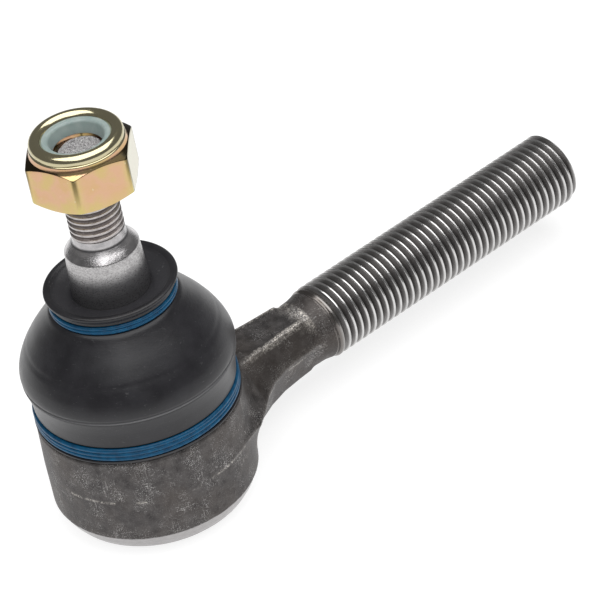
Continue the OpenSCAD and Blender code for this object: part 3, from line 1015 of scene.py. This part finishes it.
def make_ring(name, node, body, turns, wire, material):
    """A clamp ring of touching turns of round wire, filling the box of its CAD node."""
    low, high = box_mm(node)
    radius = high[0] - wire / 2
    start = low[2] + wire / 2
    pitch = (high[2] - low[2] - wire) / max(turns - 1, 1) * 0.98
    steps = int(96 * turns)
    path = []
    for i in range(steps + 1):
        turn = turns * i / steps
        a = 2 * math.pi * turn + math.radians(60)
        climb = max(0.0, min(turns - 1, turn - 0.5)) * pitch
        path.append((radius * math.cos(a), radius * math.sin(a), start + climb))
    points, faces = tube(path, wire / 2)
    return mesh_piece(name, points, faces, body, [node], material, 40)


def dress_cad_nodes():
    """Inner pieces and the cover plate keep their CAD shape and get a finished material."""
    for node, material in (("upper_bearing_shell", bearing_plastic()),
                           ("lower_bearing_shell", bearing_plastic()),
                           ("preload_spring", spring_steel()),
                           ("cover_plate", plated_steel())):
        for slot in frame["nodes"][node].material_slots:
            slot.material = material


# ------------------------------------------------------------------ stage


def make_stage():
    """A plain pale floor just under the rim, lit a little from within so that it stays white."""
    half, gap = 1.5, 0.0002
    z = RIM_Z * MM - gap
    mesh = bpy.data.meshes.new("floor")
    corners = [(-half, -half, z), (half, -half, z), (half, half, z), (-half, half, z)]
    mesh.from_pydata(corners, [], [(0, 1, 2, 3)])
    floor = bpy.data.objects.new("floor", mesh)
    bpy.context.scene.collection.objects.link(floor)
    s = Shader("floor_paper", Roughness=0.9, Specular_IOR_Level=0.1)
    s.bsdf.inputs["Base Color"].default_value = (0.32, 0.32, 0.32, 1)
    s.bsdf.inputs["Emission Color"].default_value = (1, 1, 1, 1)
    s.bsdf.inputs["Emission Strength"].default_value = 0.81
    mesh.materials.append(s.material)


def area_light(name, place, target, size, watts):
    """A rectangular area light at place, in metres, pointed at target."""
    light = bpy.data.lights.new(name, "AREA")
    light.shape = "RECTANGLE"
    light.size, light.size_y = size
    light.energy = watts
    lamp = bpy.data.objects.new(name, light)
    lamp.location = place
    lamp.rotation_mode = "QUATERNION"
    lamp.rotation_quaternion = (Vector(target) - Vector(place)).to_track_quat("-Z", "Y")
    bpy.context.scene.collection.objects.link(lamp)


def make_lights():
    """A weak white surrounding and one wide soft light overhead."""
    world = bpy.data.worlds.new("studio")
    bpy.context.scene.world = world
    world.use_nodes = True
    background = world.node_tree.nodes["Background"]
    background.inputs["Color"].default_value = (1, 1, 1, 1)
    background.inputs["Strength"].default_value = 0.18
    area_light("overhead", (0.0, -0.22, 0.72), (0.0, -0.22, 0), (1.15, 0.95), 8.6)


def make_camera():
    """The photo's camera: its place in metres, where it looks, and its roll."""
    place, direction, roll_deg = (-0.33139, -0.54757, 0.48150), (0.46348, 0.66886, -0.58121), -11.4
    data = bpy.data.cameras.new("camera")
    data.sensor_width = 36
    data.lens = 215.07
    camera = bpy.data.objects.new("camera", data)
    camera.location = place
    camera.rotation_mode = "QUATERNION"
    level = Vector(direction).to_track_quat("-Z", "Y")
    camera.rotation_quaternion = level @ Quaternion((0, 0, 1), math.radians(roll_deg))
    bpy.context.scene.collection.objects.link(camera)
    bpy.context.scene.camera = camera


bpy.context.scene.view_settings.view_transform = "Standard"
make_camera()
make_stage()
make_lights()

blue = blue_wire()
make_housing(forged_steel(), step=0.44)
make_shank_thread(thread_steel())
make_stud(stud_steel())
make_stud_thread(stud_thread_steel())
make_nut(yellow_zinc())
make_nylon(nylon_plastic())
make_boot(boot_rubber())
make_ring("lower_ring_coil", "lower_clamp_ring", "socket", 3, 1.15, blue)
make_ring("upper_ring_coil", "upper_clamp_ring", "boot_collar", 2, 1.06, blue)
dress_cad_nodes()
